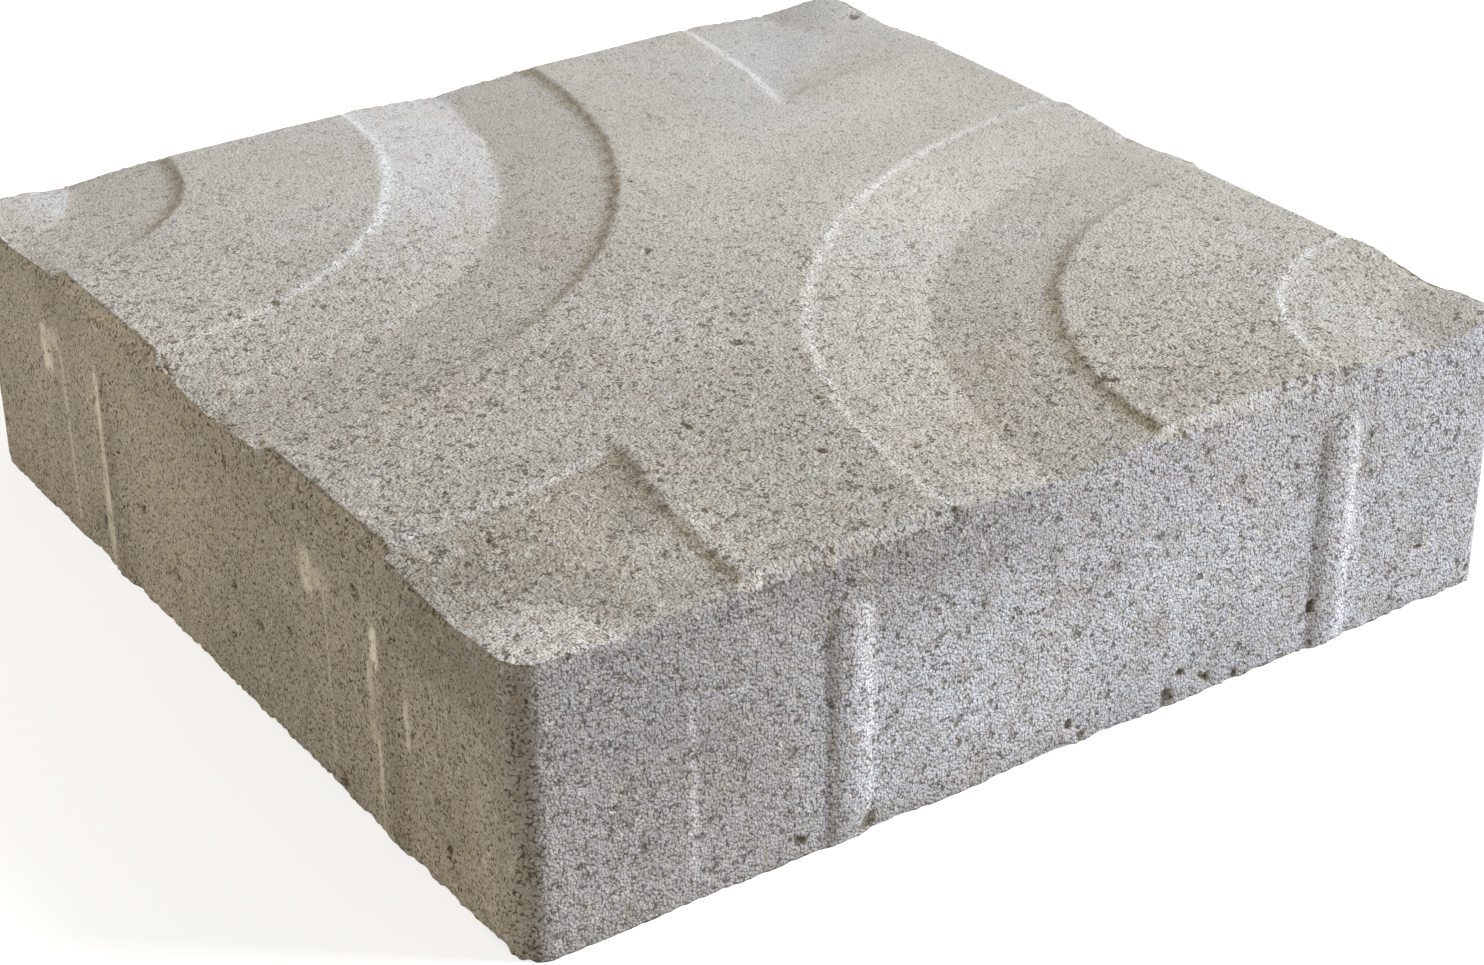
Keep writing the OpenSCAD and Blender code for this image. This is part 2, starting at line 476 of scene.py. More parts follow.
def thinned(piece, kept):
    """The piece's mesh with fewer triangles, the most of them where it is roughest."""
    modifier = piece.modifiers.new("thin", "DECIMATE")
    modifier.ratio = kept / (2 * len(piece.data.polygons))
    shown = piece.evaluated_get(bpy.context.evaluated_depsgraph_get())
    mesh = bpy.data.meshes.new_from_object(shown)
    piece.modifiers.clear()
    return mesh


def add_bake_map(mesh):
    """A flat map that gives every side a place of its own, so that it bakes evenly."""
    sides = np.empty(len(mesh.polygons), dtype=np.float32)
    mesh.attributes["side"].data.foreach_get("value", sides)
    totals = np.empty(len(mesh.polygons), dtype=np.int32)
    mesh.polygons.foreach_get("loop_total", totals)
    side = np.repeat(np.rint(sides).astype(int), totals)
    found = np.empty(len(mesh.loops), dtype=np.int32)
    mesh.loops.foreach_get("vertex_index", found)
    points = np.empty(len(mesh.vertices) * 3, dtype=np.float32)
    mesh.vertices.foreach_get("co", points)
    x, y, z = (points.reshape(-1, 3)[found] / MM).T
    reach = HALF + RIB_OUT
    along = np.choose(side, (-y, y, x, -x, -x, x)) / (2 * reach) + 0.5
    up = np.where(side < 4, z / HEIGHT, y / (2 * reach) + 0.5)
    turned = (side == 1) | (side == 3)
    left, bottom, width, height = MAP_PLACES[side].T
    across = left + width * np.where(turned, 1 - up, along)
    upward = bottom + height * np.where(turned, along, up)
    flat = np.stack([across, upward], axis=1)
    mesh.uv_layers.new(name="OFBake").data.foreach_set("uv", flat.ravel())


def slab_casting():
    """The whole slab as one closed piece, with everything that shows in its surface."""
    lattice, squares, sides = box_lattice()
    points = cast_points(lattice)
    mesh = mesh_of("slab_casting", points, squares)
    normals = normals_of(mesh)
    depth, voids = cast_marks(points, normals[:, 2])
    keep_number(mesh, "void", voids)
    keep_number(mesh, "open", open_texture(points))
    keep_number(mesh, "pale", 0.5 + 0.5 * noise(points, 37, 71) + 0.15 * noise(points, 14, 72))
    keep_number(mesh, "brown", 0.5 + 0.5 * noise(points, 31, 73) + 0.2 * noise(points, 12, 74))
    lighter, warmer = clouds(points)
    # Painted light on the flanks and ribs that face +X, and painted shade on those that face -X
    lighter += PAINTED_FLANK_LIGHT_AND_SHADE * facing_x(points, normals)
    keep_number(mesh, "lighter", lighter)
    keep_number(mesh, "warmer", warmer)
    keep_number(mesh, "side", sides.astype(float), "FACE")
    points = points - normals * depth[:, None]
    points[:, 2] = np.clip(points[:, 2], 0, None)
    mesh.vertices.foreach_set("co", (points * MM).ravel())
    piece = bpy.data.objects.new("slab_casting", mesh)
    bpy.context.scene.collection.objects.link(piece)
    piece.data = thinned(piece, KEPT_TRIANGLES)
    add_bake_map(piece.data)
    piece.data.shade_smooth()
    return piece


# ---------------------------------------------------------------- materials
class Nodes:
    """Short ways to add nodes to one material."""

    def __init__(self, tree):
        self.tree = tree

    def add(self, kind, inputs, **settings):
        """A node with its settings, and its inputs linked or set."""
        node = self.tree.nodes.new("ShaderNode" + kind)
        for name, value in settings.items():
            setattr(node, name, value)
        for socket, value in inputs.items():
            if isinstance(value, bpy.types.NodeSocket):
                self.tree.links.new(value, node.inputs[socket])
            else:
                node.inputs[socket].default_value = value
        return node

    def math(self, operation, first, second=0.0):
        """One step of arithmetic on two numbers."""
        return self.add("Math", {0: first, 1: second}, operation=operation).outputs[0]

    def between(self, value, start, end, low=0.0, high=1.0):
        """low up to start, high from end on, and a smooth change between them."""
        inputs = {"Value": value, "From Min": start, "From Max": end}
        inputs.update({"To Min": low, "To Max": high})
        return self.add("MapRange", inputs, interpolation_type="SMOOTHSTEP").outputs[0]

    def mix(self, share, first, second):
        """The first colour where share is 0, and the second where it is 1."""
        colours = {0: share, 6: first, 7: second}
        return self.add("Mix", colours, data_type="RGBA").outputs[2]

    def product(self, *values):
        """Several numbers multiplied together."""
        result = values[0]
        for value in values[1:]:
            result = self.math("MULTIPLY", result, value)
        return result

    def noise(self, place, size, detail=2.0, roughness=0.5):
        """Noise from 0 to 1 with swells about one size across; sizes in millimetres."""
        inputs = {"Vector": place, "Scale": 1 / size, "Detail": detail, "Roughness": roughness}
        return self.add("TexNoise", inputs).outputs[0]

    def warped(self, place, size, reach):
        """The place, moved unevenly by up to about half the reach."""
        inputs = {"Vector": place, "Scale": 1 / size, "Detail": 1.0}
        uneven = {0: self.add("TexNoise", inputs).outputs["Color"], "Scale": reach}
        shift = self.add("VectorMath", uneven, operation="SCALE").outputs[0]
        return self.add("VectorMath", {0: place, 1: shift}, operation="ADD").outputs[0]

    def number(self, name):
        """A number that the mesh keeps for each point."""
        return self.add("Attribute", {}, attribute_name=name).outputs["Fac"]


# How much blue a warmer tone loses for each part of red that it gains
COOLING = 1.6


def grey(level, warmth=0.0):
    """A grey of a given level, warmer above 0 and cooler below."""
    return (level * (1 + warmth), level, level * (1 - COOLING * warmth), 1)


def rim_marks(nodes, at, wobble):
    """Bloom and a painted highlight on the steps that face the light, dirt and painted shade below
    those that face -X, and the hollows.
    """
    waves = SimpleNamespace(crest_bloom_and_highlight=0.0, cove_dirt_and_shade=0.0)
    offsets, radii = [], []
    for corner_x, corner_y in ((-HALF, HALF), (HALF, -HALF)):
        from_x = nodes.math("SUBTRACT", at.x, corner_x)
        from_y = nodes.math("SUBTRACT", at.y, corner_y)
        flat = nodes.add("CombineXYZ", {0: from_x, 1: from_y}).outputs[0]
        radii.append(nodes.add("VectorMath", {0: flat}, operation="LENGTH").outputs["Value"])
        offsets.append((from_x, from_y))
    for here, other, (from_x, from_y) in zip(radii, reversed(radii), offsets):
        past_other = nodes.math("ADD", other, wobble)
        past_other = nodes.between(past_other, FIELD_RADIUS - 2, FIELD_RADIUS)
        out_x = nodes.math("DIVIDE", from_x, here)
        out_y = nodes.math("DIVIDE", from_y, here)
        lit = nodes.math("SUBTRACT", nodes.product(out_x, 0.55), nodes.product(out_y, 0.8))
        for rim, way in RIMS:
            line = nodes.product(nodes.math("SUBTRACT", here, rim), way)
            line = nodes.math("ADD", line, wobble)
            there = past_other if rim == FIELD_RADIUS else 1.0
            facing = nodes.between(nodes.product(lit, way), 0.3, 0.95)
            crest = nodes.product(nodes.between(line, -0.8, 0.4), nodes.between(line, 2.4, 0.7))
            crest = nodes.product(crest, facing, there)
            waves.crest_bloom_and_highlight = nodes.math("MAXIMUM", waves.crest_bloom_and_highlight, crest)
            away = nodes.between(nodes.product(out_x, way), -0.2, -0.85)
            cove = nodes.product(nodes.between(line, -1.2, 0.6), nodes.between(line, 6.0, 1.3))
            cove = nodes.product(cove, away, there)
            waves.cove_dirt_and_shade = nodes.math("MAXIMUM", waves.cove_dirt_and_shade, cove)
    nearer = nodes.math("MINIMUM", *radii)
    waves.hollow = nodes.between(nearer, FIELD_RADIUS, FIELD_RADIUS + 4)
    silt_end = nodes.between(nearer, FIELD_RADIUS + 42, FIELD_RADIUS + 30)
    waves.silt = nodes.product(waves.hollow, silt_end)
    waves.nearer_left = nodes.math("SUBTRACT", radii[1], radii[0])
    return waves


# Rubbed and stained bars of the two sides beside the near corner, with painted highlights and
# painted shade along the ribs and the near upright edge: the middle from the left corner and
# from the floor, half the width, half the height, and the strength
LEFT_SCUFFS_AND_HIGHLIGHTS = (
    (83.2, 44, 1.6, 17, 0.65), (82.4, 30, 2.0, 24, 0.55), (81.0, 14, 1.7, 14, 0.55),
    (53, 59, 6, 2.4, 0.45), (48.5, 53.5, 3.2, 6.5, 0.75), (58.5, 30, 0.9, 27, 0.35),
    (236, 53, 2.4, 5, 0.9), (232.5, 36, 1.4, 11, 0.4), (235.5, 20, 1.3, 8, 0.6),
    (234.5, 6, 1.0, 5, 0.4), (202.5, 56.5, 2.6, 5.5, 0.7), (209, 57.5, 4, 2.6, 0.45),
    (211, 30, 0.4, 26, 0.35), (249.5, 38, 0.9, 7, 0.55),
)
LEFT_STAINS_AND_SHADE = (
    (88.5, 30, 3.0, 31, 0.5), (243, 28, 3.0, 29, 0.5), (228, 38, 0.8, 9, 0.4),
    (295, 45, 7.0, 45, 0.4), (268, 22, 9.0, 7.0, 0.3), (276, 68, 24.0, 11.0, 0.5),
)
RIGHT_SCUFFS_AND_HIGHLIGHTS = (
    (45, 30, 0.8, 25, 0.45), (94.2, 34, 0.8, 31, 0.1), (246.2, 33, 1.0, 33, 0.25),
    (91.5, 52, 2.2, 12, 0.35), (58, 52, 2.5, 2, 0.3),
)
RIGHT_STAINS_AND_SHADE = (
    (83.3, 34, 1.6, 33, 0.45), (236.5, 34, 2.0, 33, 0.35), (235.5, 42, 3.5, 0.8, 0.5),
    (155, 45, 2.6, 2.2, 0.4), (208, 58, 3.0, 2.6, 0.35), (183, 23, 3.2, 3.0, 0.45),
)

# The pale oval in the middle of the right side, measured in the same way
PALE_MIDDLE = (140, 30, 65, 30)


def bars(nodes, along, up, rub, marks):
    """The strongest of several soft-edged upright bars, broken up where rub is low."""
    strongest = 0.0
    for middle, height, half_width, half_height, strength in marks:
        across = nodes.math("ABSOLUTE", nodes.math("SUBTRACT", along, middle))
        above = nodes.math("ABSOLUTE", nodes.math("SUBTRACT", up, height))
        outer, inner = half_width * 1.4 + 0.3, half_width * 0.6 - 0.2
        inside = nodes.between(across, outer, inner, 0.0, strength)
        bar = nodes.product(inside, nodes.between(above, half_height + 1.5, half_height - 1.5))
        strongest = nodes.math("MAXIMUM", strongest, bar)
    return nodes.math("MULTIPLY", strongest, rub)


# Colours of the bare concrete, with the tints of light and shade painted on -X and -Y
SIDE_PASTE = grey(0.45, -0.01)
TOP_PASTE = grey(0.45, 0.035)
RIGHT_PASTE_COOL_LIGHT = (0.54, 0.54, 0.61, 1)
LEFT_PASTE_WARM_SHADE = (0.508, 0.454, 0.368, 1)
PALE_PASTE = grey(0.52, -0.03)
BROWN_PASTE = (0.40, 0.355, 0.32, 1)
OPEN_PASTE = grey(0.30, 0.06)
FAR_PASTE = grey(0.35, 0.0)

# Colours of the stains, dirt, bloom and scuffs on it, and of the light and shade painted on it
LEFT_DAMP = (0.25, 0.21, 0.155, 1)
RIGHT_DAMP = (0.25, 0.235, 0.225, 1)
RIGHT_PALE = (0.70, 0.71, 0.78, 1)
SILT_AND_SHADE = (0.27, 0.235, 0.17, 1)
FAR_CORNER_SHADE = (0.30, 0.305, 0.32, 1)
NEAR_CORNER_LIGHT = grey(0.62, 0.01)
FLANK_SHEEN = (0.58, 0.61, 0.70, 1)
STAIN_AND_SHADE = (0.22, 0.185, 0.14, 1)
COVE_DIRT_AND_SHADE = (0.20, 0.16, 0.09, 1)
CREST_BLOOM_AND_HIGHLIGHT = (0.66, 0.70, 0.77, 1)
LEFT_SCUFF_AND_HIGHLIGHT = (0.80, 0.76, 0.67, 1)
RIGHT_SCUFF_AND_HIGHLIGHT = (0.74, 0.74, 0.77, 1)

# Colours of the grains, and the painted shade in the gaps between them and in the low sand and
# clumps
DULL_PATCH = grey(0.33, 0.06)
CLUMP_GAP_SHADE = grey(0.24, 0.10)
CLUMP_LUMP = grey(0.58, 0.02)
PALE_GRAIN = grey(0.62, 0.0)
DARK_GRAIN = grey(0.25, 0.10)
PALE_CRUMB = grey(0.62, 0.04)
PALE_STONE = (0.62, 0.56, 0.47, 1)
RED_STONE = (0.34, 0.24, 0.17, 1)
LOW_SAND_SHADE = grey(0.20, 0.08)
SMALL_GAP_SHADE = (0.07, 0.06, 0.04, 1)
PIT_DIRT_AND_SHADE = (0.09, 0.075, 0.055, 1)
VOID_DIRT_AND_SHADE = (0.11, 0.09, 0.06, 1)

# Sizes of the patches, clumps, sand and grains, and spacings of the pits and the stones
PATCH_SIZE = 7
CLUMP_SIZE = 2.6
SAND_SIZE = 0.75
GRAIN_SIZE = 0.8
PIT_SPACING = 1.6
STONE_SPACING = 3.5

# How high the bump stands where it is 1, and how much the surface reflects
BUMP_HEIGHT = 2 * MM
SPECULAR_LEVEL = 0.3


def surface_places(nodes):
    """Where a point of the slab is, in millimetres, and which side of the slab it is on."""
    at = SimpleNamespace()
    object_place = {0: nodes.add("TexCoord", {}).outputs["Object"], "Scale": 1 / MM}
    at.place = nodes.add("VectorMath", object_place, operation="SCALE").outputs[0]
    at.x, at.y, at.z = nodes.add("SeparateXYZ", {0: at.place}).outputs
    true_normal = nodes.add("NewGeometry", {}).outputs["True Normal"]
    at.normal_x, normal_y, normal_z = nodes.add("SeparateXYZ", {0: true_normal}).outputs
    at.on_top = nodes.between(normal_z, 0.35, 0.75)
    at.off_top = nodes.math("SUBTRACT", 1.0, at.on_top)
    at.on_left = nodes.between(at.normal_x, -0.25, -0.6)
    at.on_right = nodes.between(normal_y, -0.7, -0.93)
    at.openness = nodes.number("open")
    at.left_along = nodes.math("SUBTRACT", HALF, at.y)
    at.right_along = nodes.math("ADD", at.x, HALF)
    at.across_slab = nodes.math("ADD", at.x, at.y)
    at.depth_in = nodes.math("ADD", nodes.product(at.x, 0.55), nodes.product(at.y, 0.83))

    # The grain shows most on the near half of the slab, and least at the top's far corner
    coarse = nodes.between(at.depth_in, 120, -80, 0.45, 1.0)
    at.coarse = nodes.math("MAXIMUM", coarse, at.off_top)
    return at


def dry_mix(nodes, at):
    """The patches, clumps, sand, grains and stones of the mix, and the pits between them."""
    mix = SimpleNamespace()
    mix.patch = nodes.noise(at.place, PATCH_SIZE, 1)
    mix.clump = nodes.noise(at.place, CLUMP_SIZE, 2, 0.6)
    mix.sand = nodes.noise(at.place, SAND_SIZE, 2, 0.6)
    mix.ragged = nodes.math("SUBTRACT", mix.sand, 0.5)
    uneven_place = nodes.warped(at.place, 1.3, 2.4)

    small = nodes.add("TexVoronoi", {"Vector": at.place, "Scale": 1 / GRAIN_SIZE})
    mix.from_grain = small.outputs["Distance"]
    mix.grain_tone = nodes.add("SeparateColor", {0: small.outputs["Color"]}).outputs[0]
    on_near_sides = nodes.math("ADD", at.on_right, at.on_left)
    gap_reach = nodes.math("ADD", mix.from_grain, nodes.product(on_near_sides, 0.09))
    mix.small_gap = nodes.between(nodes.math("ADD", gap_reach, mix.ragged), 0.70, 0.92)

    big = nodes.add("TexVoronoi", {"Vector": uneven_place, "Scale": 1 / PIT_SPACING})
    big_numbers = nodes.add("SeparateColor", {0: big.outputs["Color"]}).outputs
    mix.crumb_tone, pit_chance, pit_size = big_numbers
    pitted = nodes.between(mix.clump, 0.55, 0.3, 0.0, 0.6)
    pitted = nodes.math("ADD", pitted, nodes.between(mix.patch, 0.5, 0.32, 0.0, 0.35))
    is_pit = nodes.between(nodes.math("SUBTRACT", pitted, pit_chance), -0.02, 0.02)
    from_pit = nodes.math("ADD", big.outputs["Distance"], nodes.product(mix.ragged, 2.0))
    from_pit = nodes.math("SUBTRACT", from_pit, nodes.between(pit_size, 0.3, 1.0, 0.0, 0.3))
    pit = nodes.product(nodes.between(from_pit, 0.34, 0.12), is_pit)
    mix.pit = nodes.product(pit, at.coarse, nodes.between(at.on_left, 0.0, 1.0, 0.8, 0.7))

    pebble = nodes.add("TexVoronoi", {"Vector": uneven_place, "Scale": 1 / STONE_SPACING})
    mix.stone_tone = nodes.add("SeparateColor", {0: pebble.outputs["Color"]}).outputs[0]
    in_stone = nodes.product(nodes.between(pebble.outputs["Distance"], 0.5, 0.3), at.openness)
    mix.in_stone = nodes.product(in_stone, nodes.between(at.on_right, 0.0, 1.0, 1.0, 0.4))
    return mix


def bare_paste(nodes, at):
    """The cement paste: the top's and the sides' colour, with the warm tint of shade painted on -X
    and the cool tint of light on -Y, with patches, and duller at the far corner.
    """
    paste = nodes.mix(at.on_top, SIDE_PASTE, TOP_PASTE)
    paste = nodes.mix(at.on_right, paste, RIGHT_PASTE_COOL_LIGHT)
    paste = nodes.mix(at.on_left, paste, LEFT_PASTE_WARM_SHADE)
    pale = nodes.between(nodes.number("pale"), 0.3, 1.0, 0.0, 0.4)
    pale = nodes.product(pale, nodes.between(at.on_left, 0.0, 1.0, 1.0, 0.3))
    paste = nodes.mix(pale, paste, PALE_PASTE)
    paste = nodes.mix(nodes.between(nodes.number("brown"), 0.4, 1.0, 0.0, 0.5), paste, BROWN_PASTE)
    paste = nodes.mix(nodes.between(at.openness, 0.2, 1.0, 0.0, 0.2), paste, OPEN_PASTE)
    far = nodes.product(at.on_top, nodes.between(at.depth_in, 20, 110, 0.0, 0.3))
    return nodes.mix(far, paste, FAR_PASTE)


def stained_sides(nodes, at, mix, paste):
    """The paste darkened below the top's edge, and pale in the middle of the right side and
    towards its +X end.
    """
    dull = nodes.product(at.on_right, nodes.between(at.right_along, 100, 60, 0.0, 0.5))
    rise = nodes.math("ADD", at.z, nodes.between(mix.clump, 0.3, 0.7, -6.0, 6.0))
    under_edge = nodes.product(nodes.between(rise, HEIGHT - 28, HEIGHT - 5), at.off_top)
    strength = nodes.between(at.right_along, 165, 105, 0.05, 0.7)
    under_edge = nodes.product(under_edge, strength)
    paste = nodes.mix(nodes.product(at.on_left, under_edge, 0.5), paste, LEFT_DAMP)
    under_edge = nodes.product(under_edge, nodes.math("SUBTRACT", 1.0, at.on_left))
    paste = nodes.mix(nodes.math("MAXIMUM", dull, under_edge), paste, RIGHT_DAMP)

    along, up, half_width, half_height = PALE_MIDDLE
    across = nodes.product(nodes.math("SUBTRACT", at.right_along, along), 1 / half_width)
    above = nodes.product(nodes.math("SUBTRACT", at.z, up), 1 / half_height)
    out = nodes.math("ADD", nodes.product(across, across), nodes.product(above, above))
    middle = nodes.between(nodes.math("ADD", out, mix.ragged), 1.3, 0.2, 0.0, 0.45)
    right_end = nodes.between(at.right_along, 180, 250, 0.0, 0.22)
    pale = nodes.math(
        "MAXIMUM", nodes.product(at.on_right, middle), nodes.product(at.on_right, right_end)
    )
    return nodes.mix(pale, paste, RIGHT_PALE)


def stained_top(nodes, at, mix, waves, paste):
    """The paste with silt and painted shade in the near hollow, painted light at the near tip,
    painted shade in the far hollow, and a painted sheen on flanks that face +X.
    """
    near_corner = nodes.between(at.across_slab, -SIDE / 3, -SIDE / 2)
    far_corner = nodes.between(at.across_slab, SIDE / 3, SIDE / 2)
    thickness = nodes.between(mix.patch, 0.2, 0.7, 0.4, 0.75)
    # Silt and painted shade in the near hollow, most on its side nearer the left wave centre
    silt = nodes.product(waves.silt, near_corner, at.on_top, thickness)
    silt = nodes.product(silt, nodes.between(waves.nearer_left, -45, 5, 0.15, 1.0))
    paste = nodes.mix(silt, paste, SILT_AND_SHADE)
    facing_x = nodes.between(waves.nearer_left, -12, 6, 0.0, 0.4)
    facing_x = nodes.product(waves.hollow, far_corner, at.on_top, facing_x)
    paste = nodes.mix(facing_x, paste, FAR_CORNER_SHADE)
    # Painted light on the top's near tip
    near_tip = nodes.between(at.across_slab, 50 - SIDE, 25 - SIDE, 0.0, 0.75)
    paste = nodes.mix(nodes.product(at.on_top, near_tip), paste, NEAR_CORNER_LIGHT)
    # A painted bluish sheen on the flanks near the left wave centre that face +X
    painted_sheen = nodes.product(at.on_top, nodes.between(at.normal_x, 0.03, 0.09))
    painted_sheen = nodes.product(painted_sheen, nodes.between(at.y, -10, 70))
    painted_sheen = nodes.product(painted_sheen, nodes.between(waves.nearer_left, 40, 140, 0.0, 0.3))
    return nodes.mix(painted_sheen, paste, FLANK_SHEEN)


def grained(nodes, at, mix, paste):
    """The colour with the grains, crumbs and stones in it, and painted shade in the gaps between
    them and where the sand and the clumps are low.
    """
    lumpy = nodes.math("MAXIMUM", at.on_right, nodes.product(at.openness, at.on_top))
    lumpy = nodes.between(lumpy, 0.0, 1.0, 1.0, 1.4)
    darker = nodes.between(at.on_left, 0.0, 1.0, 1.0, 1.5)
    is_pale = nodes.between(mix.stone_tone, 0.86, 0.9, 0.0, 0.5)
    is_red = nodes.between(mix.stone_tone, 0.12, 0.08, 0.0, 0.45)
    layers = (
        (nodes.between(mix.patch, 0.45, 0.75, 0.0, 0.5), DULL_PATCH),
        (nodes.product(nodes.between(mix.clump, 0.48, 0.28, 0.0, 0.45), lumpy), CLUMP_GAP_SHADE),
        (nodes.product(nodes.between(mix.clump, 0.55, 0.75, 0.0, 0.28), lumpy), CLUMP_LUMP),
        (nodes.between(mix.grain_tone, 0.6, 1.0, 0.0, 0.28), PALE_GRAIN),
        (nodes.between(mix.grain_tone, 0.4, 0.0, 0.0, 0.5), DARK_GRAIN),
        (nodes.between(mix.crumb_tone, 0.9, 1.0, 0.0, 0.5), PALE_CRUMB),
        (nodes.product(mix.in_stone, is_pale), PALE_STONE),
        (nodes.product(mix.in_stone, is_red), RED_STONE),
        (nodes.product(nodes.between(mix.sand, 0.6, 0.3, 0.0, 0.45), darker), LOW_SAND_SHADE),
        (nodes.product(mix.small_gap, darker, 0.66), SMALL_GAP_SHADE),
    )
    for share, layer in layers:
        paste = nodes.mix(share, paste, layer)
    return paste


def bloom_dirt_and_painted_light(nodes, at, mix, waves, colour):
    """The colour with dirt and painted shade in the coves that face -X, and bloom and a painted
    highlight on the steps that face the light.
    """
    cove_dirt_and_shade = nodes.product(waves.cove_dirt_and_shade, at.on_top, nodes.between(mix.clump, 0.7, 0.3, 0.3, 0.72))
    colour = nodes.mix(cove_dirt_and_shade, colour, COVE_DIRT_AND_SHADE)
    crest_bloom_and_highlight = nodes.product(waves.crest_bloom_and_highlight, nodes.between(mix.grain_tone, 0.1, 1.0, 0.0, 0.5))
    crest_bloom_and_highlight = nodes.product(crest_bloom_and_highlight, nodes.between(mix.patch, 0.3, 0.6, 0.4, 1.0))
    crest_bloom_and_highlight = nodes.product(crest_bloom_and_highlight, nodes.between(at.x, -140, 20, 0.5, 1.0))
    crest_bloom_and_highlight = nodes.product(crest_bloom_and_highlight, nodes.between(at.across_slab, 120, 180, 1.0, 0.55))
    return nodes.mix(nodes.product(crest_bloom_and_highlight, at.on_top), colour, CREST_BLOOM_AND_HIGHLIGHT)


def scuffed_and_highlit(nodes, at, mix, colour):
    """The colour with the pale marks that handling rubbed onto the two near sides, and painted
    highlights along the ribs' borders.
    """
    rub = nodes.between(nodes.math("ADD", mix.patch, mix.ragged), 0.0, 0.6)
    stray = nodes.between(mix.clump, 0.2, 0.8, -1.0, 1.0)
    stray = nodes.math("ADD", stray, nodes.product(mix.ragged, 2.5))
    left_rub = nodes.math("ADD", at.left_along, nodes.product(stray, 0.6))
    left_up = nodes.math("ADD", at.z, nodes.product(stray, 1.5))
    right_rub = nodes.math("ADD", at.right_along, stray)
    left = nodes.product(bars(nodes, left_rub, left_up, rub, LEFT_SCUFFS_AND_HIGHLIGHTS), at.on_left)
    right = nodes.product(bars(nodes, right_rub, at.z, rub, RIGHT_SCUFFS_AND_HIGHLIGHTS), at.on_right)
    colour = nodes.mix(left, colour, LEFT_SCUFF_AND_HIGHLIGHT)
    return nodes.mix(right, colour, RIGHT_SCUFF_AND_HIGHLIGHT)


def toned(nodes, colour):
    """The colour made lighter and warmer by the numbers that the mesh keeps: broad changes of
    tone, and painted light and shade on the flanks and ribs.
    """
    lighter = nodes.math("ADD", nodes.number("lighter"), 1.0)
    warmer = nodes.number("warmer")
    tint = nodes.add("CombineXYZ", {
        0: nodes.product(lighter, nodes.math("ADD", warmer, 1.0)),
        1: lighter,
        2: nodes.product(lighter, nodes.math("SUBTRACT", 1.0, nodes.product(warmer, COOLING))),
    }).outputs[0]
    return nodes.add("VectorMath", {0: colour, 1: tint}, operation="MULTIPLY").outputs[0]


def bumped(nodes, at, mix):
    """The shading normal of sand, clumps and stones that stand out, and gaps and pits."""
    stone = nodes.product(mix.in_stone, nodes.between(mix.stone_tone, 0.66, 0.7))
    clump = nodes.product(mix.clump, nodes.between(at.openness, 0.0, 1.0, 0.15, 0.4))
    height = nodes.math("ADD", nodes.product(mix.sand, 0.29), nodes.product(stone, 0.25))
    height = nodes.math("ADD", height, clump)
    for hollow, depth in ((mix.from_grain, 0.18), (mix.small_gap, 0.14), (mix.pit, 0.25)):
        height = nodes.math("SUBTRACT", height, nodes.product(hollow, depth))
    strength = nodes.product(at.coarse, nodes.between(at.on_left, 0.0, 1.0, 1.0, 0.5))
    strength = nodes.product(strength, nodes.between(at.on_right, 0.0, 1.0, 1.0, 0.85))
    settings = {"Height": height, "Distance": BUMP_HEIGHT, "Strength": strength}
    return nodes.add("Bump", settings).outputs[0]


def concrete():
    """Dry-cast concrete: cement paste, sand grains, crevices and pinholes, with light and shade
    painted on its flanks, ribs, rims, hollows, gaps and pits.
    """
    material = bpy.data.materials.new("concrete")
    material.use_nodes = True
    nodes = Nodes(material.node_tree)
    at = surface_places(nodes)
    mix = dry_mix(nodes, at)
    wobble = nodes.between(mix.patch, 0.2, 0.8, -0.6, 0.6)
    waves = rim_marks(nodes, at, nodes.math("ADD", nodes.product(mix.ragged, 3.0), wobble))

    plain = bare_paste(nodes, at)
    plain = stained_sides(nodes, at, mix, plain)
    plain = stained_top(nodes, at, mix, waves, plain)
    # Stains, and painted shade beside the ribs and the near upright edge
    left_stain_and_shade = nodes.product(bars(nodes, at.left_along, at.z, 1.0, LEFT_STAINS_AND_SHADE), at.on_left)
    right_stain_and_shade = nodes.product(bars(nodes, at.right_along, at.z, 1.0, RIGHT_STAINS_AND_SHADE), at.on_right)
    plain = nodes.mix(nodes.math("MAXIMUM", left_stain_and_shade, right_stain_and_shade), plain, STAIN_AND_SHADE)

    colour = nodes.mix(at.coarse, plain, grained(nodes, at, mix, plain))
    colour = bloom_dirt_and_painted_light(nodes, at, mix, waves, colour)
    colour = scuffed_and_highlit(nodes, at, mix, colour)
    # Dirt and painted shade in the pits and the voids
    colour = nodes.mix(mix.pit, colour, PIT_DIRT_AND_SHADE)
    in_void = nodes.math("ADD", nodes.number("void"), nodes.product(mix.ragged, 2.0))
    void = nodes.between(in_void, 0.15, 0.6)
    colour = nodes.mix(nodes.product(void, 0.8), colour, VOID_DIRT_AND_SHADE)
    colour = toned(nodes, colour)

    shader = material.node_tree.nodes["Principled BSDF"]
    shader.inputs["Specular IOR Level"].default_value = SPECULAR_LEVEL
    roughness = nodes.between(mix.patch, 0.3, 0.7, 0.86, 0.96)
    links = material.node_tree.links
    links.new(colour, shader.inputs["Base Color"])
    links.new(bumped(nodes, at, mix), shader.inputs["Normal"])
    links.new(roughness, shader.inputs["Roughness"])
    return material


# ---------------------------------------------------------------- floor, camera and light
FLOOR_SIZE = 8
FLOOR_GREY = grey(0.45)
FLOOR_ROUGHNESS = 0.9
FLOOR_GLOW = 0.69
WHITE = (1, 1, 1, 1)
WORLD_LIGHT = (0.465, 0.435, 0.37, 1)

# The photograph's camera: metres, and degrees about X, Y and Z
SENSOR_WIDTH = 36
LENS = 74.25
CAMERA_PLACE = (-0.4158, -0.6280, 0.4215)
CAMERA_TURN = (61.306, 0.496, -34.445)

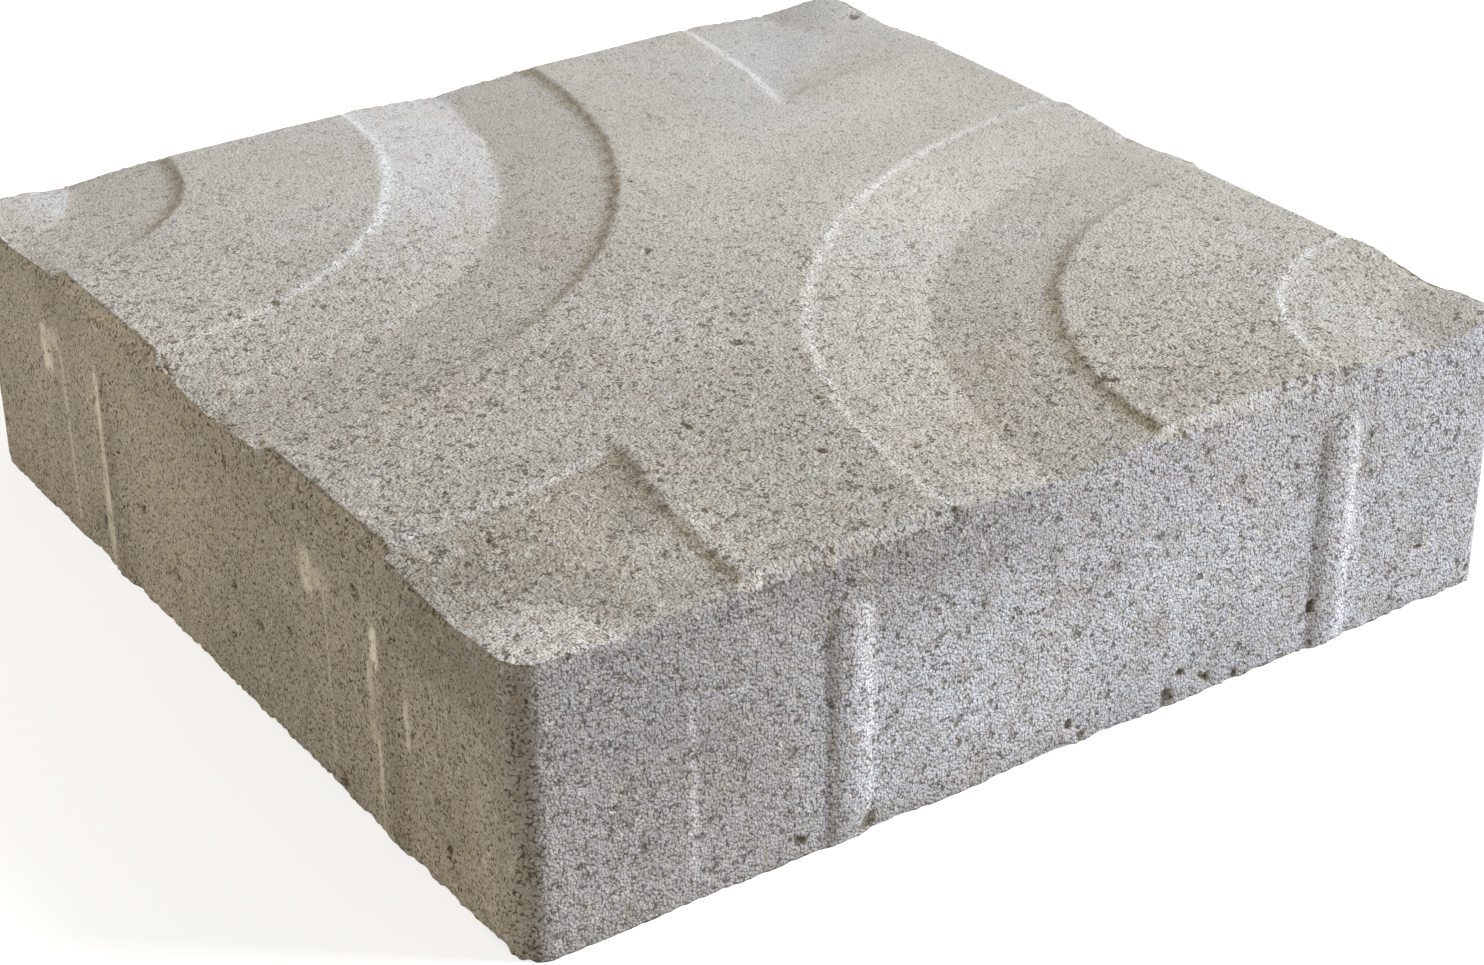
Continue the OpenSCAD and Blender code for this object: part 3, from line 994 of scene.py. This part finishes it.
# Name, azimuth from +X towards +Y and elevation in degrees, distance and size in metres,
# power in watts, and colour
LAMPS = (
    ("key", -33.5, 32.3, 4.5, 1.5, 328, (0.90, 0.94, 1.0)),
    ("fill", 145, 12, 4.5, 2.5, 75, (1.0, 0.88, 0.68)),
)


def seen_directly(nodes):
    """1 for rays from the camera or from gloss or glass, and 0 for those that bring light."""
    path = nodes.add("LightPath", {}).outputs
    seen = nodes.math("MAXIMUM", path["Is Camera Ray"], path["Is Glossy Ray"])
    return nodes.math("MAXIMUM", seen, path["Is Transmission Ray"])


def studio_floor():
    """Plain pale floor, lifted to white for the camera, which still sees the slab's shadow."""
    bpy.ops.mesh.primitive_plane_add(size=FLOOR_SIZE)
    floor = bpy.context.object
    floor.name = "floor"
    material = bpy.data.materials.new("floor")
    material.use_nodes = True
    nodes = Nodes(material.node_tree)
    shader = material.node_tree.nodes["Principled BSDF"]
    shader.inputs["Base Color"].default_value = FLOOR_GREY
    shader.inputs["Roughness"].default_value = FLOOR_ROUGHNESS
    shader.inputs["Emission Color"].default_value = WHITE
    glow = nodes.product(seen_directly(nodes), FLOOR_GLOW)
    material.node_tree.links.new(glow, shader.inputs["Emission Strength"])
    floor.data.materials.append(material)


def add_camera():
    """The camera stands where the photograph was taken from."""
    data = bpy.data.cameras.new("camera")
    data.sensor_width = SENSOR_WIDTH
    data.lens = LENS
    camera = bpy.data.objects.new("camera", data)
    camera.location = CAMERA_PLACE
    camera.rotation_euler = [math.radians(angle) for angle in CAMERA_TURN]
    bpy.context.scene.collection.objects.link(camera)
    bpy.context.scene.camera = camera


def add_softbox(name, azimuth, elevation, distance, size, power, colour):
    """A square lamp that faces the slab."""
    turn, rise = math.radians(azimuth), math.radians(elevation)
    out_x, out_y = math.cos(turn) * math.cos(rise), math.sin(turn) * math.cos(rise)
    out = Vector((out_x, out_y, math.sin(rise)))
    data = bpy.data.lights.new(name, "AREA")
    data.size = size
    data.energy = power
    data.color = colour
    lamp = bpy.data.objects.new(name, data)
    lamp.location = Vector((0, 0, HEIGHT * MM)) + out * distance
    lamp.rotation_euler = out.to_track_quat("Z", "Y").to_euler()
    bpy.context.scene.collection.objects.link(lamp)


def add_world():
    """Even soft light from all round, and white behind the slab."""
    world = bpy.data.worlds.new("world")
    bpy.context.scene.world = world
    world.use_nodes = True
    nodes = Nodes(world.node_tree)
    light = world.node_tree.nodes["Background"]
    light.inputs["Color"].default_value = WORLD_LIGHT
    backdrop = nodes.add("Background", {"Color": WHITE})
    layers = {0: seen_directly(nodes), 1: light.outputs[0], 2: backdrop.outputs[0]}
    shown = nodes.add("MixShader", layers)
    output = world.node_tree.nodes["World Output"]
    world.node_tree.links.new(shown.outputs[0], output.inputs["Surface"])


add_camera()
for lamp in LAMPS:
    add_softbox(*lamp)
add_world()
studio_floor()

slab = slab_casting()
slab.data.materials.append(concrete())
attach(slab, "root")
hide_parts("slab")

bpy.context.scene.view_settings.view_transform = "Standard"
